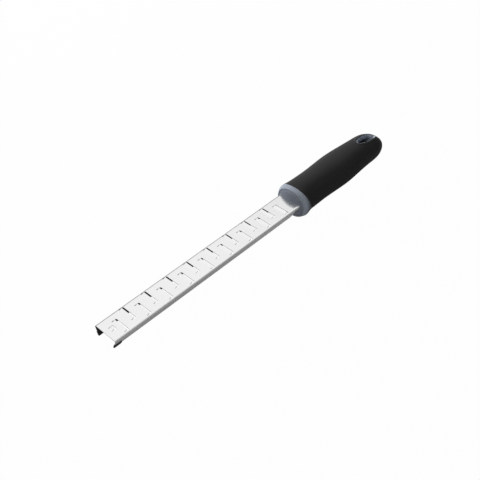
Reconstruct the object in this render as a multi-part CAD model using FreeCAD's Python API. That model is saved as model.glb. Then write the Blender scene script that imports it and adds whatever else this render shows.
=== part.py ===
"""Ribbon grater: a long folded steel blade with wide ribbon teeth, set in a two-shot moulded handle.

Five pieces. The blade is one strip of stainless sheet, folded into a shallow channel, with two
staggered columns of raised teeth and a narrow tang that hides in the handle. Two small clips on the
lower edges of the channel's tip keep it from slipping on a board. The handle core is hard plastic: its
domed collar shows in front, and its sleeve lines the hanging hole. The grip is soft plastic moulded
over the core.

X runs along the tool from the blade's tip to the handle's end, Y across it, Z up from the cutting face.
The model is drawn with the tip at X = 0 and the cutting face at Z = 0, and is moved at the end so that
the origin is the middle of the underside of its box. Millimetres and degrees throughout.
"""
import FreeCAD, Part
import math
import os

from FreeCAD import Vector

# Blade: sheet folded into a channel
sheet = 0.6                # thickness of the strip
blade_width = 23.5         # over the folds
fold_radius = 1.8          # outside of each fold
flange_depth = 8.5         # from the cutting face down to the flange's lower edge
flange_lean = 21.0         # how far each flange leans in from square
blade_length = 205.0       # tip to the crown of the collar's face
flange_runout = 13.5       # length over which the flanges are cut away before the collar's rim
flange_stub = 1.2          # depth that is left of them at the rim

# Tang: the blade's narrow end, held inside the handle core
tang_width = 13.0
tang_length = 40.0
shoulder_length = 4.0      # full width kept behind the collar's rim
tang_hole = 4.5            # diameter of the two keying holes
tang_hole_pitch = 18.0

# Ribbon teeth: wide flaps cut on three sides and pushed up, edge towards the handle
tooth_pitch = 22.5         # along one column
tooth_count = 17           # both columns, one after the other along the blade
first_slot = 15.15         # tip to the handle side of the first slot
tooth_width = 15.2         # across the blade, with its side slits
column_offset = 2.6        # from the blade's middle line to the middle of each column
slot_gap = 1.95            # from the raised edge to the plate, seen from above
flap_length = 2.6          # from the flap's root to its edge, seen from above
flap_rise = 0.9            # height of the edge over the plate
side_slit = 0.7            # width of the slit at each end of a flap
slot_corner = 1.0          # radius of the slot's far corners
edge_land = 0.15           # what grinding leaves of the sheet at the cutting edge
lead_tooth_width = 5.0     # the short tooth nearest to the tip
lead_slot = 9.1            # tip to the handle side of its slot
lead_offset = -0.5         # from the blade's middle line to its middle

# Feet: clips pressed on the flanges' lower edges at the tip
foot_length = 7.4
foot_width = 1.5
foot_grip = 2.9            # how far a foot reaches up the flange
foot_drop = 1.0            # how far it stands below the flange
foot_nose = 0.3            # wall in front of the flange's end
foot_heel = 1.8            # radius at the lower rear corner
foot_bevel = 0.3           # edges of the nose and the top

# Handle: outline of the outer skin, measured from the collar's rim
rim_setback = 6.0          # from the crown of the collar's face back to its rim
collar_length = 7.1        # rim to the edge of the soft grip, at the rim's middle height
grip_edge_lean = 15.6      # how far that edge leans forward at the top
handle_length = 126.3      # rim to the end of the handle
axis_drop = 4.2            # middle of the rim below the cutting face
rim_half_width = 15.5
rim_half_height = 13.3
rim_bevel = 0.6
collar_flare = 1.2         # how much narrower the skin would be at the face's crown than at the rim
tail_length = 25.7         # the elliptic end
section_power = 2.2        # 2 is an ellipse, more is squarer
section_points = 16        # points of one section's curve
body_sections = 9          # sections between the collar and the tail
tail_angles = (18, 35, 50, 63, 75, 84)   # sections round the tail

# Stations of the skin: distance from the rim, half width, half height, middle's height above the rim's
collar_side = (3.0, 17.1, 14.2, 0.4)
grip_front = (7.0, 16.7, 14.3, 0.9)
grip_waist = (0.25 * handle_length, 15.4, 14.0, 1.3)
grip_swell = (0.487 * handle_length, 16.85, 13.6, 1.6)
grip_neck = (0.7 * handle_length, 15.05, 12.9, 1.8)
grip_tail = (handle_length - tail_length, 14.5, 12.2, 1.6)
tail_droop = 3.1           # how far the middle falls from the tail's start to its end

# Core under the grip, and hanging hole
bar_half_width = 12.2
bar_half_height = 7.6
bar_rise = 1.8             # its middle above the rim's middle
bar_stop = 8.5             # from its end to the hole's middle
bar_round = 4.5            # its long edges
hole_length = 24.8
hole_width = 11.2
sleeve_wall = 1.3          # hard plastic round the hole
sleeve_flare = 0.9         # bevel at both mouths of the hole
hole_from_end = 20.9       # handle's end to the middle of the hole

# Places that follow from the sizes above
rim_x = blade_length + rim_setback
hole_x = handle_length - hole_from_end   # from the rim
lean = math.radians(flange_lean)


def box(x0, x1, y0, y1, z0, z1):
    """A block between two corners."""
    return Part.makeBox(x1 - x0, y1 - y0, z1 - z0, Vector(x0, y0, z0))


def prism(points, direction):
    """A closed outline of straight edges, pushed along a direction."""
    return Part.Face(Part.makePolygon(points + [points[0]])).extrude(direction)


def fold_path(inset):
    """Half of the channel's section, at a distance in from its outer face.

    Gives the start, middle and end of the fold and the flange's lower edge.
    """
    radius = fold_radius - inset
    centre = Vector(0, blade_width / 2 - fold_radius, -fold_radius)
    turn = math.radians(90 + flange_lean)

    def on_fold(angle):
        return centre + radius * Vector(0, math.sin(angle), math.cos(angle))

    end = on_fold(turn)
    run = (flange_depth + end.z) / math.cos(lean)
    edge = end + run * Vector(0, -math.sin(lean), -math.cos(lean))
    return on_fold(0), on_fold(turn / 2), end, edge


def mirrored(point):
    return Vector(point.x, -point.y, point.z)


def channel_section():
    """The folded strip's section at X = 0, as a face."""
    outer = fold_path(0)
    inner = fold_path(sheet)
    edges = []
    for start, middle, end, foot in (outer, inner):
        edges.append(Part.LineSegment(mirrored(start), start).toShape())
        for flip in (lambda p: p, mirrored):
            edges.append(Part.Arc(flip(start), flip(middle), flip(end)).toShape())
            edges.append(Part.LineSegment(flip(end), flip(foot)).toShape())
    edges.append(Part.LineSegment(outer[3], inner[3]).toShape())
    edges.append(Part.LineSegment(mirrored(outer[3]), mirrored(inner[3])).toShape())
    return Part.Face(Part.Wire(Part.__sortEdges__(edges)))


def tooth_window(slot_x, width, centre_y):
    """What is cut out of the plate for one tooth: its slot, its flap and its two side slits."""
    length = slot_gap + flap_length
    side = width / 2
    window = box(slot_x - length, slot_x, centre_y - side, centre_y + side, -2 * sheet, sheet)
    corners = [e for e in window.Edges
               if e.BoundBox.ZLength > sheet and abs(e.BoundBox.XMin - slot_x) < 1e-6
               and e.BoundBox.YLength < 1e-6]
    return window.makeFillet(slot_corner, corners)


def tooth_flap(slot_x, width, centre_y):
    """One flap, bent up from the plate along an arc and ground to an edge on its underside."""
    root_x = slot_x - slot_gap - flap_length
    bend = 2 * math.atan(flap_rise / flap_length)
    radius = flap_length / math.sin(bend)
    centre = Vector(root_x, 0, radius)

    def on_arc(r, angle):
        return centre + r * Vector(math.sin(angle), 0, -math.cos(angle))

    upper, lower = radius, radius + sheet
    ground = bend - sheet / radius
    tip = on_arc(upper, bend)
    land = on_arc(upper + edge_land, bend)
    heel = on_arc(lower, ground)
    overlap = Vector(-sheet, 0, 0)
    edges = [
        Part.LineSegment(on_arc(upper, 0) + overlap, on_arc(upper, 0)).toShape(),
        Part.Arc(on_arc(upper, 0), on_arc(upper, bend / 2), tip).toShape(),
        Part.LineSegment(tip, land).toShape(),
        Part.LineSegment(land, heel).toShape(),
        Part.Arc(heel, on_arc(lower, ground / 2), on_arc(lower, 0)).toShape(),
        Part.LineSegment(on_arc(lower, 0), on_arc(lower, 0) + overlap).toShape(),
        Part.LineSegment(on_arc(lower, 0) + overlap, on_arc(upper, 0) + overlap).toShape(),
    ]
    face = Part.Face(Part.Wire(edges))
    face.translate(Vector(0, centre_y - width / 2 + side_slit, 0))
    return face.extrude(Vector(0, width - 2 * side_slit, 0))


def tooth_places():
    """Slot place, width and middle of each tooth, from the tip on. Even teeth are in the near column."""
    places = [(lead_slot, lead_tooth_width, lead_offset)]
    for i in range(tooth_count):
        side = -1 if i % 2 == 0 else 1
        places.append((first_slot + i * tooth_pitch / 2, tooth_width, side * column_offset))
    return places


def make_blade():
    """The folded channel with its teeth, its run-out and its tang."""
    shoulder_x = rim_x + shoulder_length
    blade = channel_section().extrude(Vector(shoulder_x, 0, 0))

    # The flanges are cut away in a slope where the blade goes into the collar
    low = -2 * flange_depth
    slope_x = rim_x - flange_runout
    half = blade_width
    runout = prism([
        Vector(slope_x, -half, low),
        Vector(slope_x, -half, -flange_depth),
        Vector(rim_x, -half, -flange_stub),
        Vector(shoulder_x + 1, -half, -flange_stub),
        Vector(shoulder_x + 1, -half, low),
    ], Vector(0, 2 * half, 0))
    blade = blade.cut(runout)

    # The tang is the plate alone, narrowed and pierced
    tang = box(shoulder_x - 1, shoulder_x + tang_length, -tang_width / 2, tang_width / 2, -sheet, 0)
    first_hole = shoulder_x + tang_length - tang_hole_pitch - 2 * tang_hole
    for i in range(2):
        below = Vector(first_hole + i * tang_hole_pitch, 0, -2 * sheet)
        tang = tang.cut(Part.makeCylinder(tang_hole / 2, 4 * sheet, below))
    blade = blade.fuse(tang)

    windows = [tooth_window(*place) for place in tooth_places()]
    flaps = [tooth_flap(*place) for place in tooth_places()]
    return blade.cut(windows).fuse(flaps).removeSplitter()


def make_foot(side):
    """A clip on one flange's lower edge; side is 1 for the far flange and -1 for the near one."""
    edge = (fold_path(0)[3] + fold_path(sheet)[3]) * 0.5
    low = edge.z - foot_drop
    rear = foot_length - foot_nose
    half = foot_width / 2
    block = box(-foot_nose, rear, edge.y - half, edge.y + half, low - foot_width, edge.z + foot_grip)
    block.rotate(Vector(0, edge.y, edge.z), Vector(1, 0, 0), -flange_lean)
    # It leans with the flange, but its underside is level
    block = block.cut(box(-foot_nose, rear, 0, blade_width, low - 3 * foot_width, low))
    heel = [e for e in block.Edges
            if e.BoundBox.XMin > rear - 1e-3 and e.BoundBox.ZMax < low + 1e-3]
    block = block.makeFillet(foot_heel, heel)
    sharp = [e for e in block.Edges if e.BoundBox.XMax < 0 or e.BoundBox.ZMin > edge.z]
    block = block.makeChamfer(foot_bevel, sharp)
    if side < 0:
        block = block.mirror(Vector(0, 0, 0), Vector(0, 1, 0))
    return block


def station_curve(column):
    """A smooth curve of one of the stations' sizes against the distance along the handle."""
    stations = [grip_front, grip_waist, grip_swell, grip_neck, grip_tail]
    curve = Part.BSplineCurve()
    curve.interpolate([Vector(station[0], station[column], 0) for station in stations])
    return curve


def section_wire(x, half_width, half_height, middle):
    """One closed cross-section of the handle, a superellipse."""
    points = []
    for i in range(section_points):
        angle = 2 * math.pi * i / section_points
        c, s = math.cos(angle), math.sin(angle)
        y = half_width * math.copysign(abs(c) ** (2 / section_power), c)
        z = half_height * math.copysign(abs(s) ** (2 / section_power), s)
        points.append(Vector(x, y, middle + z))
    # Every section has its points at the same parameters, so that the loft stays light
    curve = Part.BSplineCurve()
    curve.interpolate(Points=points, PeriodicFlag=True, Parameters=list(range(section_points + 1)))
    return Part.Wire(curve.toShape())


def skin_rows():
    """Sections from the collar to the tail's start.

    Each is the distance from the rim, the half width, the half height and the middle's height.
    """
    curves = [station_curve(column) for column in (1, 2, 3)]
    first, last = grip_front[0], grip_tail[0]
    rows = []
    for i in range(body_sections + 1):
        along = first + (last - first) * i / body_sections
        sizes = [curve.value(curve.parameter(Vector(along, 0, 0))).y for curve in curves]
        rows.append((along, *sizes))
    return rows


def tail_rows():
    """Sections round the elliptic end."""
    start, half_width, half_height, middle = grip_tail
    rows = []
    for degrees in tail_angles:
        along = math.sin(math.radians(degrees))
        across = math.cos(math.radians(degrees))
        rows.append((start + tail_length * along, half_width * across, half_height * across,
                     middle - tail_droop * along ** 2))
    return rows


def make_skin():
    """The whole handle's outer form, with the domed face of its collar."""
    front = [
        (-rim_setback, rim_half_width - collar_flare, rim_half_height - collar_flare, 0.0),
        (0.0, rim_half_width, rim_half_height, 0.0),
        collar_side,
    ]
    rows = front + skin_rows() + tail_rows()
    sections = [section_wire(d, a, b, m - axis_drop) for d, a, b, m in rows]
    sections.append(Part.Vertex(Vector(handle_length, 0, grip_tail[3] - tail_droop - axis_drop)))
    skin = Part.makeLoft(sections, True, False)
    # The face is part of a ball through its crown and the sides of its rim
    radius = (rim_half_width ** 2 + rim_setback ** 2) / (2 * rim_setback)
    middle_x = radius - rim_setback
    ball = Part.makeSphere(radius, Vector(middle_x, 0, -axis_drop))
    rest = box(middle_x, handle_length + 1, -radius, radius, -axis_drop - radius, -axis_drop + radius)
    skin = skin.common(ball.fuse(rest))
    rim = [e for e in skin.Edges if e.BoundBox.XMax < 1 and e.BoundBox.YLength > rim_half_width]
    return skin.makeChamfer(rim_bevel, rim)


def oval_post(length, width, low, high):
    """An upright elliptic post round the middle of the hanging hole."""
    outline = Part.Ellipse(Vector(hole_x, 0, low), length / 2, width / 2)
    halves = [Part.ArcOfEllipse(outline, 0, math.pi), Part.ArcOfEllipse(outline, math.pi, 2 * math.pi)]
    wire = Part.Wire([half.toShape() for half in halves])
    return Part.Face(wire).extrude(Vector(0, 0, high - low))


def make_handle(blade):
    """The hard core, with the collar in front and the sleeve of the hanging hole, and the soft grip.

    Both are drawn with the collar's rim at X = 0 and are then moved to the blade's end.
    """
    skin = make_skin()
    low, high = -3 * rim_half_height, 3 * rim_half_height
    half = 2 * rim_half_width

    # Everything behind the soft grip's leaning edge
    lean_run = math.tan(math.radians(grip_edge_lean))
    behind = prism([
        Vector(collar_length - lean_run * (high + axis_drop), -half, high),
        Vector(handle_length + 1, -half, high),
        Vector(handle_length + 1, -half, low),
        Vector(collar_length - lean_run * (low + axis_drop), -half, low),
    ], Vector(0, 2 * half, 0))

    bar_z = bar_rise - axis_drop
    bar = box(shoulder_length / 2, hole_x - bar_stop, -bar_half_width, bar_half_width,
              bar_z - bar_half_height, bar_z + bar_half_height)
    bar = bar.makeFillet(bar_round, [e for e in bar.Edges if e.BoundBox.XLength > bar_round])
    post = oval_post(hole_length + 2 * sleeve_wall, hole_width + 2 * sleeve_wall, low, high)
    hole = oval_post(hole_length, hole_width, low, high)
    grip = skin.common(behind).cut([bar, post])

    collar = skin.cut(behind)
    sleeve = skin.common(post).cut(hole)
    mouth = [e for e in sleeve.Edges
             if abs(e.BoundBox.XLength - hole_length) < 0.1 and e.BoundBox.ZLength > 0.5]
    sleeve = sleeve.makeChamfer(sleeve_flare, mouth)

    core = collar.fuse([bar.cut(hole), sleeve])
    for piece in (core, grip):
        piece.translate(Vector(rim_x, 0, 0))
    return core.cut(blade), grip


os.makedirs("parts", exist_ok=True)
blade = make_blade()
foot_far = make_foot(1).cut(blade)
foot_near = make_foot(-1).cut(blade)
handle_core, handle_grip = make_handle(blade)
pieces = {"blade": blade, "foot_far": foot_far, "foot_near": foot_near,
          "handle_core": handle_core, "handle_grip": handle_grip}

# The origin is the middle of the underside of the whole tool's box
whole = Part.makeCompound(list(pieces.values())).optimalBoundingBox()
to_frame = Vector(-(whole.XMin + whole.XMax) / 2, 0, -whole.ZMin)
for name, piece in pieces.items():
    piece.translate(to_frame)
    piece.exportStep("parts/" + name + ".step")
    print(name, piece.isValid(), len(piece.Solids), round(piece.Volume), piece.BoundBox)
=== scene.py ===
import math

import bmesh
import bpy
from mathutils import Matrix, Vector
from mathutils.bvhtree import BVHTree


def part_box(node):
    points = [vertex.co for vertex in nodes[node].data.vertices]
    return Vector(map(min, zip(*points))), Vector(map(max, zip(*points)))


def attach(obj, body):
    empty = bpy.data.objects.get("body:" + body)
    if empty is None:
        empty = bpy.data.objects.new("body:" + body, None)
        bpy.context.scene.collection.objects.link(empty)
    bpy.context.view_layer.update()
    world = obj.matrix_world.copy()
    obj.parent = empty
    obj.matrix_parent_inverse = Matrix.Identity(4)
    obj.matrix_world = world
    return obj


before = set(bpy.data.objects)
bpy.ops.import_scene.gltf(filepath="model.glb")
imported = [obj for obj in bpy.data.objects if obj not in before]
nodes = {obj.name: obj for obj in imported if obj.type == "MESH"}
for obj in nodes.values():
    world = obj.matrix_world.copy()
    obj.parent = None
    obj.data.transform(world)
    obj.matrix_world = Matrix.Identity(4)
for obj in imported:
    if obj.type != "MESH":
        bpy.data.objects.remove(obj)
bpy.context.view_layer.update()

# Places on the tool, in metres
tooth_rise = 0.0009                                # how far the teeth stand over the plate
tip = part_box("blade")[0].x                         # the blade's free end
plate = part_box("blade")[1].z - tooth_rise          # the cutting face
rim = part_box("handle_grip")[0].x - 0.0030          # where the collar's face meets its side band
handle_axis = 0.0138                               # height of the handle's middle at the collar
hole_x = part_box("handle_grip")[1].x - 0.0209       # the hanging hole's middle
hole_z = 0.0153                                    # height half way down the hanging hole


class Flow:
    """One output in a tree of nodes, with sums written as expressions."""

    def __init__(self, finish, socket):
        self.finish = finish
        self.socket = socket

    def _sum(self, operation, *values, clamp=False):
        settings = {"operation": operation, "use_clamp": clamp}
        return self.finish.node("ShaderNodeMath", settings, dict(enumerate(values)))

    def __add__(self, other):
        return self._sum("ADD", self, other)

    def __radd__(self, other):
        return self._sum("ADD", other, self)

    def __sub__(self, other):
        return self._sum("SUBTRACT", self, other)

    def __rsub__(self, other):
        return self._sum("SUBTRACT", other, self)

    def __mul__(self, other):
        return self._sum("MULTIPLY", self, other)

    def __rmul__(self, other):
        return self._sum("MULTIPLY", other, self)

    def clipped(self):
        """Held between 0 and 1."""
        return self._sum("ADD", self, 0.0, clamp=True)

    def size(self):
        """The value without its sign."""
        return self._sum("ABSOLUTE", self)

    def root(self):
        return self._sum("SQRT", self)

    def over(self, other):
        """1 where it is greater than the other, else 0."""
        return self._sum("GREATER_THAN", self, other)

    def ramp(self, start, end):
        """0 up to the start and 1 past the end, which may be the lower of the two."""
        return ((self - start) * (1.0 / (end - start))).clipped()

    def swing(self, amount):
        """A noise from 0 to 1 as a change of up to half the amount either way."""
        return (self - 0.5) * amount


class Finish:
    """The nodes of a material, or of the world, under construction."""

    def __init__(self, owner):
        self.owner = owner
        owner.use_nodes = True
        self.tree = owner.node_tree
        self.tree.nodes.clear()

    def node(self, kind, settings=None, sockets=None, output=0):
        """Adds a node: its settings first, then the values or links of its sockets."""
        made = self.tree.nodes.new(kind)
        for key, value in (settings or {}).items():
            setattr(made, key, value)
        for key, value in (sockets or {}).items():
            if isinstance(value, Flow):
                self.tree.links.new(value.socket, made.inputs[key])
            else:
                made.inputs[key].default_value = value
        return Flow(self, made.outputs[output])

    def place(self, stretch=(1, 1, 1)):
        """The object's own coordinates, stretched."""
        where = self.node("ShaderNodeTexCoord", output="Object")
        return self.node("ShaderNodeMapping", None, {"Vector": where, "Scale": stretch})

    def millimetres(self, axis):
        """One of the object's own coordinates, in millimetres."""
        where = self.node("ShaderNodeTexCoord", output="Object")
        return self.node("ShaderNodeSeparateXYZ", None, {0: where}, output=axis) * 1000

    def ray(self, kind):
        """1 for one kind of ray, else 0."""
        return self.node("ShaderNodeLightPath", output="Is " + kind + " Ray")

    def noise(self, where, scale, detail=2.0, rough=0.5):
        """Cloudy noise from 0 to 1, with the scale in clouds to the metre."""
        return self.node("ShaderNodeTexNoise", None,
                         {"Vector": where, "Scale": scale, "Detail": detail, "Roughness": rough})

    def blend(self, share, first, second):
        """A colour between two."""
        return self.node("ShaderNodeMix", {"data_type": "RGBA"},
                         {0: share, 6: first, 7: second}, output=2)

    def relief(self, height, depth):
        """A bump of the given depth in metres."""
        return self.node("ShaderNodeBump", None, {"Height": height, "Distance": depth, "Strength": 1.0})

    def surface(self, **sockets):
        """The finished material; socket names take underscores for blanks."""
        values = {key.replace("_", " "): value for key, value in sockets.items()}
        return self.end("ShaderNodeOutputMaterial", self.node("ShaderNodeBsdfPrincipled", None, values))

    def end(self, kind, shader):
        """Links the shader to the tree's end, and gives back the material or world."""
        end = self.tree.nodes.new(kind)
        self.tree.links.new(shader.socket, end.inputs["Surface"])
        return self.owner


def new_material(name):
    return Finish(bpy.data.materials.new(name))


def grey(tone):
    return (tone, tone, tone, 1)


def dress(node, material):
    """Gives a carried-over node its finish."""
    mesh = nodes[node].data
    mesh.materials.clear()
    mesh.materials.append(material)


# Finishes

def under_the_sheet(steel):
    """1 on the blade's inner faces, below its plate and between its flanges, where shade is painted, else 0.
    In millimetres.
    """
    thickness = 0.55          # thickness = 0.55 # a little less than the sheet's, so that the slots' cut walls stay free of the painted shade
    fold_out = 9.95           # middle line to the middle of each fold
    fold_down = 1.8           # plate to the middle of each fold
    fold_radius = 1.5         # half way between the fold's faces
    lean = 0.384              # how far a flange leans in for each millimetre down
    half_gap = 12.25          # middle line to a flange's own middle, if it were carried up to the plate
    across = steel.millimetres("Y").size()
    depth = plate * 1000 - steel.millimetres("Z")
    out = across - fold_out
    up = fold_down - depth
    in_fold = out.over(0.0) * up.over(out * -lean)
    outside = (out * out + up * up).root().over(fold_radius)
    between = (half_gap - depth * lean).over(across)
    return depth.over(thickness) * between * (1.0 - in_fold * outside)


def polished_sheet():
    """Rolled stainless sheet: bright outside, with a fine lengthwise grain; its inner faces under the plate
    are painted dark as shade, and a little rougher.
    """
    steel = new_material("polished_sheet")
    inside = under_the_sheet(steel)
    # Streaks along the blade: few to the metre along it, many across
    grain = steel.noise(steel.place((14, 1500, 1500)), 1.0, 3.0, 0.6)
    wide_grain = steel.noise(steel.place((5, 420, 420)), 1.0, 2.0, 0.5)
    clouds = steel.noise(steel.place(), 34.0, 3.0, 0.55)
    bright = steel.blend(clouds, (0.80, 0.80, 0.803, 1), (0.86, 0.86, 0.858, 1))
    # Painted shade: the inner faces under the plate take this dark colour in place of shadow
    painted_shade_tone = (0.12, 0.12, 0.123, 1)
    tone = steel.blend(inside, bright, painted_shade_tone)
    shine = 0.23 + grain.swing(0.10) + clouds.swing(0.10) + inside * 0.15
    bump = steel.relief(grain * 0.6 + wide_grain * 0.4, 0.000004)
    return steel.surface(Base_Color=tone, Metallic=1.0, Roughness=shine.clipped(), Normal=bump)


def slate_moulding():
    """Hard plastic, evenly pitted; painted light makes the collar's band, bead and eyelet paler, the hole's
    ends palest; painted shade darkens deep in the hole.
    """
    slate = new_material("slate_moulding")
    pits = slate.noise(slate.place(), 2600.0, 2.0, 0.6)
    clouds = slate.noise(slate.place(), 60.0, 3.0, 0.5)
    # Millimetres behind the rim, from the hanging hole's middle along the tool, and from its mid height
    beyond = slate.millimetres("X") - rim * 1000
    along_hole = (beyond - (hole_x - rim) * 1000).size()
    up_or_down = (slate.millimetres("Z") - hole_z * 1000).size()
    on_band = beyond.ramp(-0.4, 0.0) * beyond.ramp(4.0, 3.0)
    on_bead = (beyond + 0.6).size().ramp(0.7273, 0.2727)
    in_hole = beyond.over(60.0)          # so far behind the rim, only the hanging hole shows this plastic
    hole_end = in_hole * along_hole.ramp(5.0, 10.0)
    deep = in_hole * up_or_down.ramp(7.8, 5.3) * (1.0 - hole_end)
    face = slate.blend(clouds, (0.180, 0.202, 0.245, 1), (0.204, 0.227, 0.271, 1))
    # Painted light: the side band, the bead and the eyelet take a paler copy of the face's colour
    painted_light_band = slate.blend(clouds, (0.368, 0.414, 0.492, 1), (0.402, 0.450, 0.530, 1))
    # Painted light at the hanging hole's ends, where the inner walls face the light
    painted_light_at_hole_ends = (0.56, 0.61, 0.69, 1)
    # Painted shade deep down in the hanging hole
    painted_shade_in_hole = (0.022, 0.023, 0.027, 1)
    rim_or_face = slate.blend((on_band + in_hole + on_bead).clipped(), face, painted_light_band)
    tone = slate.blend(deep, slate.blend(hole_end, rim_or_face, painted_light_at_hole_ends), painted_shade_in_hole)
    shine = 0.40 + clouds.swing(0.10) + pits.swing(0.06) - on_band * 0.06
    return slate.surface(Base_Color=tone, Roughness=shine.clipped(), Normal=slate.relief(pits, 0.000015))


def soft_skin():
    """Black soft plastic: matte and finely grained, with faint clouds of wear."""
    skin = new_material("soft_skin")
    pits = skin.noise(skin.place(), 3200.0, 2.0, 0.6)
    hollows = skin.node("ShaderNodeTexVoronoi", {"feature": "F1"}, {"Vector": skin.place(), "Scale": 1500.0})
    clouds = skin.noise(skin.place(), 45.0, 4.0, 0.55)
    tone = skin.blend(clouds, (0.043, 0.043, 0.0438, 1), (0.052, 0.052, 0.0528, 1))
    shine = 0.50 + clouds.swing(0.12) + pits.swing(0.06)
    bump = skin.relief(pits * 0.5 + hollows * 0.5, 0.00003)
    return skin.surface(Base_Color=tone, Roughness=shine.clipped(), Normal=bump, Specular_IOR_Level=0.06)


def foot_rubber():
    """Matte black rubber."""
    rubber = new_material("foot_rubber")
    pits = rubber.noise(rubber.place(), 2400.0, 2.0, 0.6)
    tone = rubber.blend(pits, grey(0.006), grey(0.012))
    shine = 0.62 + pits.swing(0.10)
    return rubber.surface(Base_Color=tone, Roughness=shine.clipped(), Normal=rubber.relief(pits, 0.00003))


# Trim on the handle

def turns(cuts):
    """Equal turns once round."""
    return [2 * math.pi * i / cuts for i in range(cuts)]


def ring_piece(name, sections, material):
    """A closed ring of skin through equal cross-sections, each a list of points."""
    count = len(sections)
    size = len(sections[0])
    points = [tuple(point) for section in sections for point in section]
    faces = []
    for i in range(count):
        j = (i + 1) % count
        for k in range(size):
            n = (k + 1) % size
            faces.append((i * size + k, j * size + k, j * size + n, i * size + n))
    mesh = bpy.data.meshes.new(name)
    mesh.from_pydata(points, [], faces)
    shell = bmesh.new()
    shell.from_mesh(mesh)
    bmesh.ops.recalc_face_normals(shell, faces=shell.faces)
    shell.to_mesh(mesh)
    shell.free()
    mesh.shade_smooth()
    mesh.materials.append(material)
    piece = bpy.data.objects.new(name, mesh)
    bpy.context.scene.collection.objects.link(piece)
    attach(piece, "root")


def solid_of(node):
    """A node's skin as a searchable tree."""
    copy = bmesh.new()
    copy.from_mesh(nodes[node].data)
    bmesh.ops.remove_doubles(copy, verts=copy.verts, dist=1e-6)
    tree = BVHTree.FromBMesh(copy)
    copy.free()
    return tree


def rim_bead(core, material):
    """The low rounded bead between the collar's face and its side band."""
    half_width = 0.00065
    height = 0.00048
    far = 0.03                # well outside the collar, where each search starts
    middle = Vector((rim - 0.0006, 0, handle_axis))
    # Shares of the bead's width and height, from front to back
    profile = ((0.0, -0.8), (0.04, 0.35), (0.16, 0.85), (0.35, 1.0),
               (0.65, 1.0), (0.84, 0.85), (0.96, 0.35), (1.0, -0.8))
    sections = []
    for turn in turns(180):
        out = Vector((0, math.cos(turn), math.sin(turn)))
        front, back = [core.ray_cast(middle + Vector((shift, 0, 0)) + out * far, -out)[0]
                       for shift in (-half_width, half_width)]
        run = back - front
        lift = (out * run.x - Vector((run.dot(out), 0, 0))).normalized()
        sections.append([front + run * share + lift * (height * level) for share, level in profile])
    ring_piece("collar_bead", sections, material)


def stadium(turn, half_length, half_width):
    """A point of a long round-ended loop, by its turn about the middle."""
    c = math.cos(turn)
    straight = (half_length - half_width) * min(1.0, abs(c) * 5.0)
    return Vector((math.copysign(straight, c) + half_width * c, half_width * math.sin(turn), 0))


def oval(turn, half_length, half_width):
    """A point of an ellipse, by its turn about the middle."""
    return Vector((math.cos(turn) * half_length, math.sin(turn) * half_width, 0))


def mouth(grip, side, black, slate):
    """The soft lip and the hard eyelet at one end of the hanging hole; side is 1 on top, -1 below."""
    half_length = 0.0142
    half_width = 0.0074
    straight = half_length - half_width
    crown = 31.0              # how the skin curves across the handle, per metre
    beside = 0.0001           # outside the lip, where the skin's height is taken
    far = 0.05                # well clear of the handle, where each search starts
    middle = Vector((hole_x, 0, 0))
    edge_oval = (0.0135, 0.00485)
    wall_oval = (0.0123, 0.0055)
    # Shares of the way in from the lip's outline to the eyelet's edge, and heights over the skin
    lip_profile = ((0.0, -0.0006), (0.0, 0.00002), (0.3, 0.00024), (0.7, 0.00028),
                   (0.82, 0.00022), (1.0, -0.00004), (1.0, -0.0010), (0.0, -0.0012))
    # Half lengths and half widths of the eyelet's ovals, and heights over the skin
    eyelet_profile = ((edge_oval, -0.0008), (edge_oval, -0.00004), ((0.01315, 0.004675), 0.00006),
                      ((0.0128, 0.0045), -0.0003), ((0.0113, 0.0043), -0.0015), ((0.0101, 0.0041), -0.0052),
                      (wall_oval, -0.0056), (wall_oval, -0.0012))

    def rise(point, level):
        """The same place at a height over the skin, which climbs from the hole's sides inwards."""
        over_end = max(0.0, abs(point.x - hole_x) - straight)
        reach = math.sqrt(max(0.0, half_width ** 2 - over_end ** 2))
        start = Vector((point.x, math.copysign(reach + beside, point.y), hole_z + side * far))
        skin = grip.ray_cast(start, Vector((0, 0, -side)))[0].z
        climb = crown * max(0.0, reach ** 2 - point.y ** 2)
        return Vector((point.x, point.y, skin + side * (climb + level)))

    lip = []
    eyelet = []
    for turn in turns(128):
        outer = middle + stadium(turn, half_length, half_width)
        edge = middle + oval(turn, *edge_oval)
        lip.append([rise(outer + (edge - outer) * share, level) for share, level in lip_profile])
        eyelet.append([rise(middle + oval(turn, *halves), level) for halves, level in eyelet_profile])
    word = "upper" if side > 0 else "lower"
    ring_piece("hole_lip_" + word, lip, black)
    ring_piece("hole_eyelet_" + word, eyelet, slate)


def finish_the_tool():
    black = soft_skin()
    slate = slate_moulding()
    rubber = foot_rubber()
    dress("blade", polished_sheet())
    dress("foot_near", rubber)
    dress("foot_far", rubber)
    dress("handle_core", slate)
    dress("handle_grip", black)
    rim_bead(solid_of("handle_core"), slate)
    grip = solid_of("handle_grip")
    for side in (1, -1):
        mouth(grip, side, black, slate)


# Studio

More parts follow.
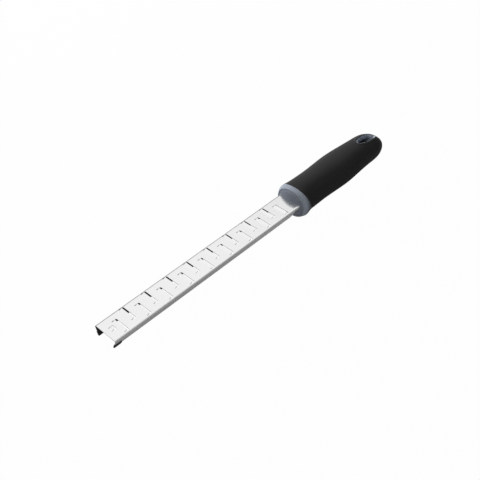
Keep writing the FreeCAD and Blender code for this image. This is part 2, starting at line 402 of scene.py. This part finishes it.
def make_floor():
    """The floor that the feet and the handle's lowest point rest on, white to the camera."""
    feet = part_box("foot_near")
    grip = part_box("handle_grip")
    front = Vector((feet[0].x, 0, feet[0].z))
    rear = Vector((grip[0].x + 0.005, 0, -0.0001))      # just under the grip's front, the lowest place
    along = (rear - front).normalized()
    across = Vector((0, 1, 0))
    middle = front + along * 0.17                # under the middle of the tool
    reach = 4.0
    corners = [middle + along * a * reach + across * b * reach
               for a, b in ((-1, -1), (1, -1), (1, 1), (-1, 1))]
    mesh = bpy.data.meshes.new("studio_floor")
    mesh.from_pydata([tuple(corner) for corner in corners], [], [(0, 1, 2, 3)])
    floor = bpy.data.objects.new("studio_floor", mesh)
    bpy.context.scene.collection.objects.link(floor)
    paint = new_material("pale_floor")
    clouds = paint.noise(paint.place(), 3.0, 2.0, 0.5)
    matte = paint.node("ShaderNodeBsdfDiffuse", None, {"Color": paint.blend(clouds, grey(0.43), grey(0.45))})
    glow = paint.node("ShaderNodeEmission", None, {"Color": grey(1), "Strength": 1.0})
    seen = paint.ray("Camera") * 0.985 + paint.ray("Transmission") * 0.985
    share = (seen + paint.ray("Glossy") * 0.18).clipped()
    mixed = paint.node("ShaderNodeMixShader", None, {0: share, 1: matte, 2: glow})
    mesh.materials.append(paint.end("ShaderNodeOutputMaterial", mixed))


def make_world():
    """A dim room, brighter in mirrors, and white behind the tool."""
    world = bpy.data.worlds.new("studio")
    room = Finish(world)
    seen = (room.ray("Camera") + room.ray("Transmission")).clipped()
    strength = seen + (1.0 - seen) * (0.06 + room.ray("Glossy") * 0.27)
    glow = room.node("ShaderNodeBackground", None, {"Color": grey(1), "Strength": strength})
    bpy.context.scene.world = room.end("ShaderNodeOutputWorld", glow)


def softbox(name, place, size, glow, level=False, shades=True, mirrored=True):
    """A soft lamp, level like a ceiling or turned to the tool.

    It shades matte faces, shows in steel, or both.
    """
    lamp = bpy.data.lights.new(name, "AREA")
    lamp.shape = "RECTANGLE"
    lamp.size, lamp.size_y = size
    lamp.energy = math.pi * size[0] * size[1] * glow
    stand = bpy.data.objects.new(name, lamp)
    bpy.context.scene.collection.objects.link(stand)
    stand.location = place
    stand.visible_diffuse = shades
    stand.visible_glossy = mirrored
    if not level:
        stand.rotation_mode = "QUATERNION"
        stand.rotation_quaternion = Vector(place).to_track_quat("Z", "Y")


def make_lamps():
    """Two cards that only show in shiny faces, and two keys that only shade matte ones."""
    softbox("ceiling_card", (-0.25, 0.58, 1.20), (3.2, 2.1), glow=0.73, level=True, shades=False)
    softbox("near_card", (0.20, -0.85, 0.90), (3.0, 0.75), glow=0.38, shades=False)
    softbox("far_key", (0.15, 1.15, 0.50), (1.2, 0.6), glow=9.0, mirrored=False)
    softbox("left_key", (-1.05, -0.36, 0.42), (0.8, 0.8), glow=2.3, mirrored=False)


def make_camera():
    """The photograph's viewpoint, set from the blade's tip and its plate."""
    data = bpy.data.cameras.new("viewpoint")
    data.lens = 62.5
    data.sensor_width = 36.0
    data.clip_start = 0.01
    camera = bpy.data.objects.new("viewpoint", data)
    bpy.context.scene.collection.objects.link(camera)
    azimuth = math.radians(-136.551)
    elevation = math.radians(43.077)
    roll = math.radians(-0.151)
    back = Vector((math.cos(azimuth) * math.cos(elevation), math.sin(azimuth) * math.cos(elevation),
                   math.sin(elevation)))
    right = Vector((0, 0, 1)).cross(back).normalized()
    up = back.cross(right)
    upright = Matrix((right, up, back)).transposed()
    camera.rotation_mode = "QUATERNION"
    camera.rotation_quaternion = (upright @ Matrix.Rotation(roll, 3, "Z")).to_quaternion()
    camera.location = (tip - 0.22333, -0.34904, plate + 0.469823)
    bpy.context.scene.camera = camera


finish_the_tool()
make_floor()
make_world()
make_lamps()
make_camera()

bpy.context.scene.view_settings.view_transform = "Standard"
